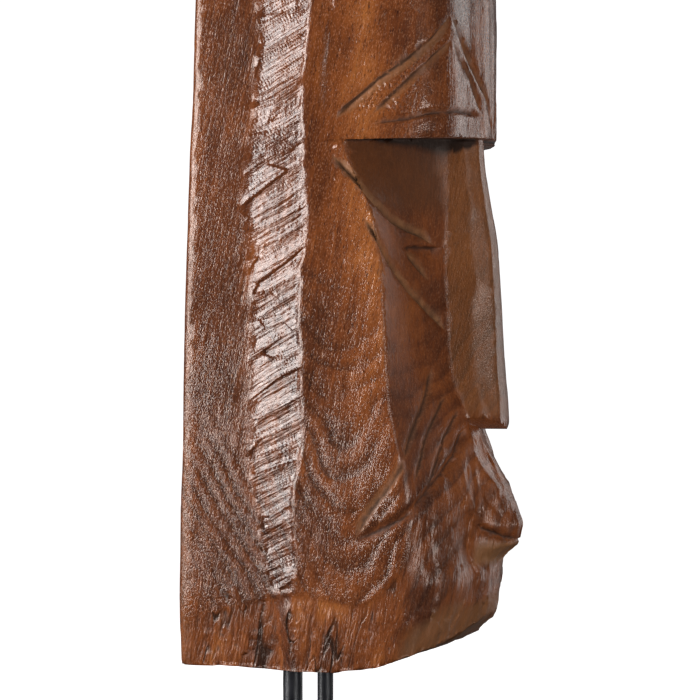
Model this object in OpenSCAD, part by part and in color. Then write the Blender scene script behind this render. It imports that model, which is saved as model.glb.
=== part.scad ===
// Carved hardwood ancestor head on a two-rod display stand.
// Millimetres. +Z is up, the face looks along -Y, and the origin is the
// middle of the stand's footprint on the table.

/* [Carved head] */
// Height of the head from its foot to its crown
head_h = 500; // [440:1:600]
// Width across the side planes at the cheeks
head_w = 160; // [134:1:192]
// Distance from the flat back to the front of the brow, at the brow's height
head_d = 171; // [150:1:206]
// Height of the brow's lower edge above the foot
brow_h = 315; // [270:1:330]
// Height of the plain crown's lower edge above the brow's lower edge
band_h = 73; // [60:1:90]
// Height of the underside of the nose above the foot
nose_h = 140; // [134:1:150]
// How far the brow overhangs the face at the eyes
socket_d = 15; // [8:1:22]
// How far the nose stands out of the face at its tip
nose_out = 21; // [14:1:26]
// How far the lips stand out past the chin
lips_out = 13; // [6:1:18]
// Height of the long ear ridge above the side plane
ear_out = 2; // [1:0.5:6]
// Width of the slanted ear band
ear_w = 39; // [28:1:44]
// Depth of the incised lines
line_deep = 2.5; // [1.5:0.5:4]
// Width of the incised lines
line_w = 6; // [4:0.5:9]

/* [Stand] */
// Width of the plinth
base_w = 190; // [170:1:240]
// Depth of the plinth
base_d = 224; // [216:1:280]
// Thickness of the plinth
base_t = 28; // [24:1:40]
// Chamfer round the plinth's top edge
base_edge = 4; // [1:0.5:6]
// Length of rod that shows between washer and head
rod_gap = 66; // [40:1:120]
// Distance between the two rods' axes
rod_pitch = 74; // [56:1:90]
// Diameter of the rod on the figure's right
rod_right_d = 12; // [10:0.5:15]
// Diameter of the rod on the figure's left
rod_left_d = 10; // [9.5:0.5:12.5]
// How deep each rod reaches into the head
rod_seat = 80; // [60:1:100]
// Distance of the rods behind the middle of the plinth
rod_back = 30; // [20:1:40]

/* [Fasteners and feet] */
// Diameter of the threaded stud at the foot of each rod
stud_d = 8; // [6:1:9]
// Thickness of the washer under each rod's shoulder
washer_t = 2; // [1:0.5:3]
// Outer diameter of the washers
washer_d = 24; // [20:1:30]
// Width across the flats of the nuts
nut_af = 13; // [12:0.5:17]
// Height of the nuts
nut_h = 6.5; // [5:0.5:9]
// Diameter of each rubber foot where it meets the plinth
foot_d = 20; // [14:1:26]
// Height of each rubber foot
foot_h = 4; // [3:0.5:8]
// Distance of each foot's middle from the plinth's edges
foot_in = 22; // [16:1:30]

/* [Hidden] */
$fn = 64;
eps = 0.01;

// Clearances
bore_gap = 0.08;     // radial, rod in its bore in the head
stud_gap = 0.25;     // radial, stud in the plinth and the washers
thread_gap = 0.05;   // radial, stud in its nut
pocket_gap = 2;      // radial, washer in the counterbore
nut_cover = 3;       // nut to the plinth's underside

// Heights of the stand, from the table up
base_z = foot_h;
base_top = base_z + base_t;
shoulder_z = base_top + washer_t;
head_z = shoulder_z + rod_gap;
rod_top = head_z + rod_seat;
lower_washer_t = 1.6;
pocket_d = washer_d + 2 * pocket_gap;
pocket_h = lower_washer_t + nut_h + nut_cover;
pocket_top = base_z + pocket_h;
nut_z = pocket_top - lower_washer_t - nut_h;
stud_foot = nut_z - nut_cover / 2;

// The head is a stack of level outlines. Each table below runs up the head:
// [height above the foot, distance], read by straight interpolation.
half_w = head_w / 2;
front_y = -86;                 // front of the brow at its lower edge
back_y = front_y + head_d;     // flat back at the same height
ear_back_y = back_y - 35.5;    // where the back of the side ends
ear_front_y = ear_back_y - ear_w;
lean = 0.03;                   // the back leans forwards as it rises
chin_h = 45;
mouth_low = 65;
mouth_h = 80;
mouth_top = 97;
crown_h = brow_h + band_h;
under_brow = brow_h - 0.1;
under_nose = nose_h - 0.1;

// Heights as shares of the face, from nose to brow, and of the crown above it
function face(f) = nose_h + f * (brow_h - nose_h);
function crown(f) = crown_h + f * (head_h - crown_h);

// Side plane, back corner, flat back and ear ridge
function side_x(t) = half_w + lookup(t, [
    [0, -13], [chin_h, -5], [100, -1], [face(0.35), 1], [brow_h, 0],
    [crown_h, 0], [crown(0.64), -2], [crown(0.93), -9], [head_h, -14]]);
function back_x(t) = half_w - 11 + lookup(t, [
    [0, -10], [chin_h, -3], [face(0.35), 1], [crown(0.64), -1], [crown(0.93), -6],
    [head_h, -11]]);
function back_at(t) = back_y - lean * (t - brow_h)
    - lookup(t, [[crown(0.73), 0], [crown(0.93), 4], [head_h, 9]]);
function ridge(t) = ear_out * lookup(t, [
    [40, 0], [60, 0.2], [face(0.35), 0.6], [brow_h, 1], [crown(0.46), 0.8], [crown(0.64), 0]]);

// Front edge of the side plane
function cheek_y(t) = front_y + lookup(t, [
    [0, 44], [chin_h, 40], [95, 36], [face(0.06), 45], [face(0.57), 50], [face(0.75), 56],
    [under_brow, 72],
    [brow_h, 54], [crown_h, 51], [head_h, 46]]);
// How far the surface between that edge and the nose bulges out
function bow(t) = lookup(t, [
    [0, 6], [chin_h, 6], [mouth_top, 3], [nose_h, 1], [under_brow, -3],
    [brow_h, 11], [head_h, 12]]);
// Root of the nose, or the matching line on brow, muzzle and chin
function root_x(t) = half_w * lookup(t, [
    [0, 0.44], [chin_h, 0.45], [mouth_low, 0.38], [mouth_top, 0.36], [under_nose, 0.28],
    [nose_h, 0.28], [face(0.35), 0.23], [under_brow, 0.19], [brow_h, 0.48], [head_h, 0.46]]);
function root_y(t) = front_y + lookup(t, [
    [0, 14], [chin_h, 6], [mouth_low, 7], [mouth_top, 4], [under_nose, 12.5],
    [nose_h, 12.5], [face(0.12), 18], [face(0.35), 10 + socket_d], [face(0.75), 10.5 + socket_d],
    [under_brow, 10.5 + socket_d], [brow_h, 8], [head_h, 12]]);
// Front corner of the nose, or the matching line elsewhere
function nose_x(t) = half_w * lookup(t, [
    [0, 0.20], [mouth_low, 0.19], [mouth_top, 0.18], [under_nose, 0.12],
    [nose_h, 0.16], [face(0.35), 0.14], [under_brow, 0.10], [brow_h, 0.18], [head_h, 0.18]]);
function front_at(t) = front_y + lookup(t, [
    [0, -2], [chin_h, -4], [mouth_low - 4, -5], [mouth_low, -8], [mouth_low + 6, -2 - lips_out],
    [mouth_h - 2, -4 - lips_out], [mouth_h + 3, -5 - lips_out], [mouth_top - 8, -3 - lips_out],
    [mouth_top, -13], [113, -6], [128, 2], [under_nose, 8], [nose_h, 13 - nose_out],
    [face(0.28), 16 - nose_out], [face(0.45), 17.5 - nose_out], [face(0.62), 20 - nose_out],
    [face(0.78), 24.2 - nose_out], [under_brow, 28 - nose_out], [brow_h, 0],
    [crown_h, 0.8], [crown(0.82), 8], [head_h, 22]]);
function nose_y(t) = front_at(t) + lookup(t, [
    [0, 1], [mouth_low, 3], [mouth_h, 7], [mouth_top, 6], [under_nose, 2],
    [nose_h, 1.3], [under_brow, 0.7], [brow_h, 1], [head_h, 1]]);
// Where the nose's side plane ends on the way from its root to its front
// corner, as fractions of the way across and of the way forward
function bevel(t) = t > nose_h - 1 && t < brow_h ? [0.12, 0.6] : [0.5, 0.5];

// Rise of the underside towards the chin, at a distance y from the origin
function rise(y) = lookup(-y, [
    [3, 0], [30, 3.6], [41, 7.3], [54, 12.5], [65, 18], [74, 23.6], [82, 29], [87, 34],
    [89, 38], [92, 44]]);
// The nose's underside and the brow's edge are not quite level
function tilt(x, t) = lookup(t, [
        [nose_h - 30, 0], [under_nose, 7], [nose_h, 7], [nose_h + 30, 0]]) * min(abs(x) / 22, 1)
    + lookup(t, [[nose_h + 40, 0], [brow_h, -3], [crown_h, 0]]) * abs(x) / half_w;

// A point between p and q, pushed out of their line by a distance
function between(p, q, s, out) = let (d = q - p, n = [-d.y, d.x] / norm(d)) p + s * d + out * n;

// One half of a level outline, from the middle of the back to the middle of the front
function half_outline(t) = let (
    xb = back_x(t), yb = back_at(t), xs = side_x(t), yc = cheek_y(t),
    xr = root_x(t), yr = root_y(t), xn = nose_x(t), yn = nose_y(t),
    b = bow(t), f = bevel(t)) [
        [0, yb], [xb / 2, yb], [xb - 3, yb], [xb, yb - 3],
        [xb + 1.5, ear_back_y], [(xb + xs + ridge(t)) / 2 + 1, (ear_back_y + ear_front_y) / 2],
        [xs + ridge(t), ear_front_y], [xs + 0.3 * ridge(t), ear_front_y - 12],
        [xs, (ear_front_y + yc) / 2 - 2], [xs, yc],
        between([xs, yc], [xr, yr], 1 / 4, b),
        between([xs, yc], [xr, yr], 2 / 4, b * 1.3),
        between([xs, yc], [xr, yr], 3 / 4, b),
        [xr, yr],
        [xr + (xn - xr) * f[0], yr + (yn - yr) * f[1]],
        [xn, yn], [xn / 2, front_at(t) + (yn - front_at(t)) / 4], [0, front_at(t)]];

function mirrored(pts) = concat(pts,
    [for (i = [len(pts) - 2 : -1 : 1]) [-pts[i].x, pts[i].y]]);

blend_h = 60;
function level(t, p) = tilt(p.x, t)
    + (t >= blend_h ? t : rise(p.y) + (blend_h - rise(p.y)) * t / blend_h);
function ring(t) = [for (p = mirrored(half_outline(t))) [p.x, p.y, level(t, p)]];

// Heights of the rings: a pair of close rings makes each ledge
LEVELS = concat(
    [0, 2, 8, 20, 32, chin_h, 56, mouth_low - 4, mouth_low, mouth_low + 6],
    [mouth_h - 2, mouth_h + 3, mouth_top - 8, mouth_top, 105, 113, 121, 128, under_nose],
    [nose_h, for (f = [0.06, 0.13, 0.2, 0.28, 0.37, 0.45, 0.53, 0.62, 0.7, 0.78, 0.86, 0.93])
        face(f)],
    [under_brow, brow_h, brow_h + 8, brow_h + band_h / 3, brow_h + band_h * 2 / 3],
    [crown_h, for (f = [0.1, 0.28, 0.46, 0.64, 0.82, 0.93, 0.98, 1]) crown(f)]);

foot_middle = [0, 40];
FOOT_RINGS = [0.8, 0.55, 0.3];

module head_block() {
    wall = [for (t = LEVELS) each ring(t)];
    n = len(ring(0));
    rows = len(LEVELS);
    rim = ring(0);
    foot = [for (s = FOOT_RINGS, p = rim) let (q = foot_middle + s * ([p.x, p.y] - foot_middle))
        [q.x, q.y, rise(q.y)]];
    points = concat(wall, foot, [[foot_middle.x, foot_middle.y, 0]], [[0, 10, head_h + 2]]);
    foot_0 = rows * n;
    centre = foot_0 + len(FOOT_RINGS) * n;
    sides = [for (r = [0 : rows - 2], i = [0 : n - 1]) let (j = (i + 1) % n)
        each [[r * n + i, (r + 1) * n + j, r * n + j], [r * n + i, (r + 1) * n + i, (r + 1) * n + j]]];
    // Rings under the foot, the first of them the wall's own lowest ring
    function foot_row(k) = k == 0 ? 0 : foot_0 + (k - 1) * n;
    under = [for (k = [0 : len(FOOT_RINGS) - 1], i = [0 : n - 1]) let (
        j = (i + 1) % n, a = foot_row(k), b = foot_row(k + 1))
        each [[a + i, a + j, b + j], [a + i, b + j, b + i]]];
    hub = [for (i = [0 : n - 1]) let (a = foot_row(len(FOOT_RINGS)))
        [a + i, a + (i + 1) % n, centre]];
    top = [for (i = [0 : n - 1]) let (a = (rows - 1) * n) [a + (i + 1) % n, a + i, centre + 1]];
    polyhedron(points, concat(sides, under, hub, top));
}

// A point of the skin: how far round the half outline, and how far up
function skin(i, t) = let (
    o = half_outline(t), a = o[floor(i)], b = o[min(floor(i) + 1, len(o) - 1)],
    p = a + (i - floor(i)) * (b - a)) [p.x, p.y, level(t, p)];
function facing(i, t) = let (
    o = half_outline(t), k = min(floor(i), len(o) - 2), d = o[k + 1] - o[k])
    [-d.y, d.x, 0] / norm(d);

// A straight V-shaped cut between two points of the skin
module incised(p, q, out, w, deep) {
    along = (q - p) / norm(q - p);
    side = cross(out, along);
    across = side / norm(side);
    up = cross(along, across);
    top = 2 * deep * 1.6 / w;
    multmatrix([
        [across.x, up.x, along.x, p.x - 0.6 * along.x],
        [across.y, up.y, along.y, p.y - 0.6 * along.y],
        [across.z, up.z, along.z, p.z - 0.6 * along.z],
        [0, 0, 0, 1]])
        linear_extrude(norm(q - p) + 1.2)
            polygon([[-w / 2 - 1.6, top], [0, -deep], [w / 2 + 1.6, top]]);
}

// A line through several points of the skin, each [place round, height]
module line(path, w = line_w, deep = line_deep) {
    for (k = [0 : len(path) - 2]) {
        a = path[k];
        b = path[k + 1];
        incised(skin(a[0], a[1]), skin(b[0], b[1]),
            facing(a[0], a[1]) + facing(b[0], b[1]), w, deep);
    }
}

// The lines of one side of the face
module side_lines() {
    // Two nested triangles folded over the corner of the brow
    line([[7.65, brow_h + 12], [8.4, brow_h + 24], [9, brow_h + 34], [10, brow_h + 46],
        [11, brow_h + 58], [11.7, brow_h + 70]]);
    line([[11.9, brow_h + 68], [13, brow_h + 52], [14.1, brow_h + 35], [15.6, brow_h + 18],
        [16.9, brow_h + 4]]);
    line([[8.8, brow_h + 14.5], [9.5, brow_h + 26], [10.1, brow_h + 36], [11, brow_h + 47],
        [11.8, brow_h + 55.5]]);
    line([[9.1, brow_h + 9.5], [10, brow_h + 13], [10.9, brow_h + 15], [12.5, brow_h + 14],
        [14.2, brow_h + 13]]);
    line([[12.2, brow_h + 55], [13.3, brow_h + 36], [14.4, brow_h + 16]]);
    // Two lines under the eye
    line([[8.2, brow_h - 10], [8.8, brow_h - 22.5], [9.3, brow_h - 37], [10.2, brow_h - 50],
        [11.6, brow_h - 58.5], [12.1, brow_h - 63]]);
    line([[8.75, brow_h - 50], [9, brow_h - 59], [9.5, brow_h - 73], [10.5, brow_h - 88],
        [11.5, brow_h - 100], [12.6, brow_h - 111]]);
    // Chevron from the cheek to the wing of the nose
    line([[8.05, mouth_h - 1], [8.4, mouth_top - 1], [8.9, mouth_top + 16], [9.5, mouth_top + 28],
        [11.3, nose_h + 14]]);
    line([[8.1, mouth_h - 4.5], [8.6, mouth_h + 3.5], [9, mouth_h + 11], [10.5, mouth_h + 31],
        [12, mouth_h + 42], [13.2, nose_h - 7]], line_w * 1.3, line_deep * 1.2);
    // Line between the lips
    line([[13.3, mouth_h - 1], [14.1, mouth_h - 4], [15.5, mouth_h - 6], [16.9, mouth_h - 6]],
        line_w * 0.8);
}

module rod_bores() {
    for (s = [-1, 1])
        translate([s * rod_pitch / 2, rod_back, -eps])
            cylinder(d = (s < 0 ? rod_right_d : rod_left_d) + 2 * bore_gap, h = rod_seat + eps);
}

module carved_head() {
    color("#6b3313") translate([0, 0, head_z]) difference() {
        head_block();
        side_lines();
        mirror([1, 0, 0]) side_lines();
        rod_bores();
    }
}

// One rod: a threaded stud through the plinth, a shoulder, and the bar that carries the head
module rod(s, d) {
    nose = 1;
    color("#1b1b1e") translate([s * rod_pitch / 2, rod_back, 0]) {
        rotate_extrude() polygon([
            [0, stud_foot], [stud_d / 2 - 0.8, stud_foot], [stud_d / 2, stud_foot + 0.8],
            [stud_d / 2, shoulder_z], [d / 2, shoulder_z], [d / 2, rod_top - nose],
            [d / 2 - nose, rod_top], [0, rod_top]]);
    }
}

module plinth() {
    color("#141211") difference() {
        union() {
            translate([-base_w / 2, -base_d / 2, base_z])
                cube([base_w, base_d, base_t - base_edge]);
            // chamfered top edge
            intersection() {
                translate([0, 0, base_top - base_edge]) rotate([90, 0, 0])
                    linear_extrude(base_d, center = true) bevelled(base_w);
                translate([0, 0, base_top - base_edge]) rotate([90, 0, 90])
                    linear_extrude(base_w, center = true) bevelled(base_d);
            }
        }
        for (s = [-1, 1]) translate([s * rod_pitch / 2, rod_back, 0]) {
            translate([0, 0, base_z - eps]) cylinder(d = pocket_d, h = pocket_h + eps);
            translate([0, 0, base_z]) cylinder(d = stud_d + 2 * stud_gap, h = base_t + eps);
        }
    }
}

module bevelled(w) {
    polygon([[-w / 2, 0], [w / 2, 0], [w / 2 - base_edge, base_edge],
        [-w / 2 + base_edge, base_edge]]);
}

module washer(s, z, t) {
    color("#3a3a3d") translate([s * rod_pitch / 2, rod_back, z]) difference() {
        cylinder(d = washer_d, h = t);
        translate([0, 0, -1]) cylinder(d = stud_d + 2 * stud_gap, h = t + 2);
    }
}

module nut(s) {
    across_corners = nut_af / cos(30);
    color("#b4b4b6") translate([s * rod_pitch / 2, rod_back, nut_z]) difference() {
        intersection() {
            cylinder(d = across_corners, h = nut_h, $fn = 6);
            rotate_extrude() polygon([
                [0, 0], [nut_af / 2 - 0.2, 0], [across_corners / 2 + 0.1, 0.9],
                [across_corners / 2 + 0.1, nut_h - 0.9], [nut_af / 2 - 0.2, nut_h], [0, nut_h]]);
        }
        translate([0, 0, -1]) cylinder(d = stud_d + 2 * thread_gap, h = nut_h + 2);
    }
}

// A moulded rubber foot, narrower where it meets the table
module foot(sx, sy) {
    color("#222222")
        translate([sx * (base_w / 2 - foot_in), sy * (base_d / 2 - foot_in), 0])
            rotate_extrude() polygon([
                [0, 0], [foot_d / 2 - 2.5, 0], [foot_d / 2 - 1.5, 0.8],
                [foot_d / 2, foot_h], [0, foot_h]]);
}

carved_head();
rod(-1, rod_right_d);  // rod_right
rod(1, rod_left_d);  // rod_left
plinth();
washer(-1, base_top, washer_t);  // shoulder_washer_right
washer(1, base_top, washer_t);  // shoulder_washer_left
washer(-1, pocket_top - lower_washer_t, lower_washer_t);  // nut_washer_right
washer(1, pocket_top - lower_washer_t, lower_washer_t);  // nut_washer_left
nut(-1);  // nut_right
nut(1);  // nut_left
foot(-1, -1);  // foot_front_right
foot(1, -1);  // foot_front_left
foot(-1, 1);  // foot_back_right
foot(1, 1);  // foot_back_left
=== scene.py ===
# %% [markdown]
# # A carved ancestor head on two rods
#
# The object is one tall block of red-brown hardwood, carved into a head that
# looks along -Y. It stands on two black steel rods that plug into its foot.
# The rods are bolted through a black plinth on rubber feet. The CAD model
# gives every place and size, so this script only adds the looks: the tool
# marks, the wood and the finishes.

# %% Load the fixed frame
import math

import bpy
import numpy as np
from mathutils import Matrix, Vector


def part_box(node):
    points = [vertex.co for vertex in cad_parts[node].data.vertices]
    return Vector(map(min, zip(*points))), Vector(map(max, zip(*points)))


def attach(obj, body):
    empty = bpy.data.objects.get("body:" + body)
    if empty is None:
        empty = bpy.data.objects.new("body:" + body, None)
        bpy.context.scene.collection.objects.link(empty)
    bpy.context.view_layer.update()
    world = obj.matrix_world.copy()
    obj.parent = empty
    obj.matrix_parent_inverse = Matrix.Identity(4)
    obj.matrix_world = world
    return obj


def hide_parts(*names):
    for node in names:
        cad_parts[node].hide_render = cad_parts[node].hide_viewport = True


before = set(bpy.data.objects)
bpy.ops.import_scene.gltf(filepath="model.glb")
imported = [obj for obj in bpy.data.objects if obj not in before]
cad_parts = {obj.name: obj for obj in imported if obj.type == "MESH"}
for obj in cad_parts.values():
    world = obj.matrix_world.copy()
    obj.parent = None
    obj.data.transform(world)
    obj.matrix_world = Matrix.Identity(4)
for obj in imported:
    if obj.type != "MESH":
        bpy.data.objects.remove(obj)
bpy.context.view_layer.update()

MM = 0.001


def box_mm(node):
    """Lower and upper corner of a CAD piece's box, in millimetres."""
    return [np.array(corner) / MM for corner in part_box(node)]


head_low, head_high = box_mm("carved_head")
foot_z = head_low[2]
half_w = 80.0
head_h = 500.0
dome = 2.0  # the middle of the crown stands this much higher
print("head box in mm:", head_low.round(1), head_high.round(1))

# %% [markdown]
# ## Curves that run up the head
#
# A carver sees the block as a few long lines: the back corners, the ear
# ridge, the edge of the cheek, the root and the edges of the nose. Each line
# is a table of heights and distances. Straight interpolation would leave a
# crease at every height in a table, so a smooth curve is drawn through them
# instead. It never swings past its own points, so the sharp ledges at the
# brow and under the nose stay sharp.

# %% A smooth curve through a table
def ease(t, table):
    """Smooth monotone curve: cubic pieces whose slope at each key is the harmonic
    mean of the slopes on its two sides, and zero where they disagree in sign."""
    k, v = np.array(table, float).T
    h = np.diff(k)
    s = np.diff(v) / h
    m = np.zeros(len(k))
    m[0], m[-1] = s[0], s[-1]
    same = s[:-1] * s[1:] > 0
    m[1:-1][same] = 2 * s[:-1][same] * s[1:][same] / (s[:-1] + s[1:])[same]
    i = np.clip(np.searchsorted(k, t, "right") - 1, 0, len(h) - 1)
    u = np.clip((t - k[i]) / h[i], 0, 1)
    return (v[i] * (1 + 2 * u) * (1 - u) ** 2 + m[i] * h[i] * u * (1 - u) ** 2
            + v[i + 1] * u * u * (3 - 2 * u) + m[i + 1] * h[i] * u * u * (u - 1))


def step(low, high, x):
    """Smoothstep: 0 below low, 1 above high, and a soft S between them."""
    u = np.clip((x - low) / (high - low), 0, 1)
    return u * u * (3 - 2 * u)


def between(x, low, full, fall, high):
    """Soft mask: 0 below low, 1 from full to fall, and 0 again above high."""
    return step(low, full, x) * (1 - step(fall, high, x))

# %% [markdown]
# ## Uneven hand work
#
# Nothing on a hand-carved block is quite flat. Value noise gives that: random
# numbers sit on a cubic lattice and are blended softly in between. The random
# numbers come from one seeded table, so every run makes the same head.

# %% Value noise in three dimensions
CELLS = 48
LATTICE = np.random.default_rng(11).uniform(-1, 1, (CELLS, CELLS, CELLS))


def waver(p, size, shift=0.0, octaves=1):
    """Blend of the eight nearest lattice numbers with smoothstep weights. Lattice
    cells are `size` millimetres wide. Each further octave is half as wide and strong."""
    total = 0.0
    for o in range(octaves):
        q = p / (np.array(size, float) / 2 ** o) + 7.31 + shift * 3.17 + o * 5.7
        i = np.floor(q).astype(int)
        f = q - i
        f = f * f * (3 - 2 * f)
        i %= CELLS
        j = (i + 1) % CELLS
        x, y, z = f[..., 0], f[..., 1], f[..., 2]
        a, b, c = i[..., 0], i[..., 1], i[..., 2]
        d, e, g = j[..., 0], j[..., 1], j[..., 2]
        low = ((LATTICE[a, b, c] * (1 - x) + LATTICE[d, b, c] * x) * (1 - y)
               + (LATTICE[a, e, c] * (1 - x) + LATTICE[d, e, c] * x) * y)
        high = ((LATTICE[a, b, g] * (1 - x) + LATTICE[d, b, g] * x) * (1 - y)
                + (LATTICE[a, e, g] * (1 - x) + LATTICE[d, e, g] * x) * y)
        total = total + (low * (1 - z) + high * z) / 2 ** o
    return total

# %% [markdown]
# ## The lines of the head
#
# The head could be sculpted from a cube, but a carver's head is really a
# stack of level outlines. Each outline is a row of eighteen stations from the
# middle of the back to the middle of the front, and the other half is its
# mirror image. All heights are in millimetres above the head's foot.

# %% Tables of the long lines
brow_h, crown_h, nose_h = 315.0, 388.0, 140.0
chin_h, lip_low, lip_line, lip_top = 45.0, 65.0, 80.0, 97.0
front_y, back_y = -86.0, 85.0
under = 0.1


def face(f):
    """Height at a share of the way from under the nose to the brow."""
    return nose_h + f * (brow_h - nose_h)


def crown(f):
    """Height at a share of the way from the brow band to the top."""
    return crown_h + f * (head_h - crown_h)


SIDE_X = [[0, -13], [chin_h, -5], [100, -1], [face(.35), 1], [brow_h, 0],
          [crown_h, 0], [crown(.64), -2], [crown(.93), -9], [500, -14]]
BACK_X = [[0, -10], [chin_h, -3], [face(.35), 1], [crown(.64), -1], [crown(.93), -6], [500, -11]]
CROWN_IN = [[crown(.73), 0], [crown(.93), 4], [500, 9]]
RIDGE = [[40, 0], [60, .4], [face(.35), 1.2], [brow_h, 2], [crown(.46), 1.6], [crown(.64), 0]]
CHEEK_Y = [[0, 44], [chin_h, 40], [95, 36], [face(.06), 45], [face(.57), 50], [face(.75), 56],
           [brow_h - under, 72], [brow_h, 54], [crown_h, 51], [500, 46]]
BOW = [[0, 6], [chin_h, 6], [lip_top, 3], [nose_h, 1], [brow_h - under, -3], [brow_h, 11],
       [500, 12]]
ROOT_X = [[0, .44], [chin_h, .45], [lip_low, .38], [lip_top, .36], [nose_h - under, .28],
          [nose_h, .28], [face(.35), .23], [brow_h - under, .19], [brow_h, .48], [500, .46]]
ROOT_Y = [[0, 14], [chin_h, 6], [lip_low, 7], [lip_top, 4], [nose_h - under, 12.5], [nose_h, 12.5],
          [face(.12), 18], [face(.35), 25], [face(.75), 25.5], [brow_h - under, 25.5], [brow_h, 8],
          [500, 12]]
NOSE_X = [[0, .20], [lip_low, .19], [lip_top, .18], [nose_h - under, .12], [nose_h, .16],
          [face(.35), .14], [brow_h - under, .10], [brow_h, .18], [500, .18]]
FRONT = [[0, -2], [chin_h, -4], [lip_low - 4, -5], [lip_low, -8], [lip_low + 6, -15],
         [lip_line - 2, -17], [lip_line + 3, -18], [lip_top - 8, -16], [lip_top, -13], [113, -6],
         [128, 2], [nose_h - under, 8], [nose_h, -8], [face(.28), -5], [face(.45), -3.5],
         [face(.62), -1], [face(.78), 3.2], [brow_h - under, 7], [brow_h, 0],
         [crown_h, .8], [crown(.82), 8], [500, 22]]
NOSE_BACK = [[0, 1], [lip_low, 3], [lip_line, 7], [lip_top, 6], [nose_h - under, 2],
             [nose_h, 1.3], [brow_h - under, .7], [brow_h, 1], [500, 1]]
FOOT_RISE = [[3, 0], [30, 3.6], [41, 7.3], [54, 12.5], [65, 18], [74, 23.6], [82, 29], [87, 34],
             [89, 38], [92, 44]]
EAR_BACK_WAVE = [[30, 17], [45, 15], [54, 11], [69, 8], [99, 4.3], [128, 0], [188, 0],
                 [217, 1.2], [247, 0], [277, -3], [307, -1.2], [336, 3], [366, 6], [396, 5],
                 [500, 4]]
EAR_RIDGE_WAVE = [[30, -13], [45, -9], [69, -6], [99, -7.8], [128, -1.5], [188, -1], [217, -3],
                  [247, 0], [277, 1.8], [307, 0], [336, -1.2], [366, 1.2], [396, 3], [500, 2]]
print("tables for", head_h, "mm of head")

# %% The eighteen stations of a level outline
def stations(t):
    """Right half of the outline at each height: x and y of eighteen stations, each
    from its own table, all at the same height t."""
    o = np.zeros_like(t)
    xs, xb = half_w + ease(t, SIDE_X), half_w - 11 + ease(t, BACK_X)
    yb = back_y - .03 * (t - brow_h) - ease(t, CROWN_IN)
    bites = np.stack([o, o + 3, t], 1)
    y4 = back_y - 35.5 - ease(t, EAR_BACK_WAVE) - 1.6 * waver(bites, 16, 1, 2)
    y6 = back_y - 74.5 - ease(t, EAR_RIDGE_WAVE) - 1.1 * waver(bites, 13, 2, 2)
    ridge = ease(t, RIDGE)
    yc = front_y + ease(t, CHEEK_Y)
    wavy = np.stack([o, o + 11, t], 1)
    xr = half_w * ease(t, ROOT_X)
    yr = front_y + ease(t, ROOT_Y) + 1.1 * waver(wavy, 15, 3, 2)
    xn, yf = half_w * ease(t, NOSE_X), front_y + ease(t, FRONT)
    yn = yf + ease(t, NOSE_BACK)
    on_nose = step(nose_h - 1.2, nose_h - .5, t) * (1 - step(brow_h - .3, brow_h, t))
    fx = .5 - .38 * on_nose
    fy = .5 + (.1 + .10 * waver(wavy, 24, 6, 2)) * on_nose
    d = np.stack([xr - xs, yr - yc], 1)
    n = np.stack([-d[:, 1], d[:, 0]], 1) / np.linalg.norm(d, axis=1)[:, None]
    bow = ease(t, BOW)[:, None]
    mid = [np.stack([xs, yc], 1) + s * d + bow * b * n for s, b in ((.25, 1), (.5, 1.3), (.75, 1))]
    pts = [(o, yb), (xb / 2, yb), (xb - 2.5, yb), (xb, yb - 2.5), (xb + 1.5, y4),
           ((xb + xs + ridge) / 2 + 1, (y4 + y6) / 2), (xs + ridge, y6), (xs + .3 * ridge, y6 - 12),
           (xs, (y6 + yc) / 2 - 2), (xs, yc)]
    pts += [(m[:, 0], m[:, 1]) for m in mid]
    pts += [(xr, yr), (xr + (xn - xr) * fx, yr + (yn - yr) * fy), (xn, yn),
            (xn / 2, yf + (yn - yf) / 4), (o, yf)]
    return np.stack([np.stack(p, 1) for p in pts], 1)


def tilt(x, t):
    """Height added at a distance x from the middle: the nose's underside rises
    towards its wings, and the brow's edge drops towards the ears."""
    a = np.abs(x)
    nose = ease(t, [[110, 0], [nose_h - under, 7], [nose_h, 7], [170, 0]])
    brow = ease(t, [[180, 0], [brow_h, -3], [crown_h, 0]])
    return nose * np.minimum(a / 22, 1) + brow * (a / half_w) ** 2


def foot_rise(y):
    """How high the underside curves up at a distance y towards the front."""
    return np.interp(-y, *np.array(FOOT_RISE, float).T)


def heights(x, y, t):
    """Height of a point: its level, pressed up near the foot by the rise of the
    underside at its y, plus the tilt of the ledges."""
    rise = foot_rise(y) - 2.2 - 2.4 * step(-80, -20, -y)
    return np.where(t < 60, rise + (60 - rise) * t / 60, t) + tilt(x, t)

# %% [markdown]
# ## Chisel facets
#
# A chisel leaves overlapping flat or hollow scoops. Scattered points on a
# stretched grid give the scoops: every place belongs to its nearest point, and
# each point has its own random tilt. That costs nine passes over the arrays,
# however many scoops there are.

# %% Scattered scoops
def scoops(p, q, long, wide, seed):
    """Nearest scattered point on a grid of `long` by `wide` cells. Returns the offsets
    from it along p and q in cells, how far the second nearest is beyond it, and two
    random numbers of that scoop."""
    rng = np.random.default_rng(seed)
    table = rng.uniform(0, 1, (64, 64, 4))
    u, v = p / long, q / wide
    i, j = np.floor(u).astype(int), np.floor(v).astype(int)
    best = np.full(u.shape, 9.0)
    second = best.copy()
    out = [np.zeros(u.shape) for _ in range(4)]
    for di in (-1, 0, 1):
        for dj in (-1, 0, 1):
            r = table[(i + di) % 64, (j + dj) % 64]
            a = u - (i + di + .15 + .7 * r[..., 0])
            b = v - (j + dj + .15 + .7 * r[..., 1])
            d = a * a + b * b
            nearer = d < best
            second = np.where(nearer, best, np.minimum(second, d))
            best = np.where(nearer, d, best)
            for k, new in enumerate((a, b, r[..., 2], r[..., 3])):
                out[k] = np.where(nearer, new, out[k])
    return out[0], out[1], np.sqrt(second) - np.sqrt(best), out[2] - .5, out[3] - .5

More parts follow.
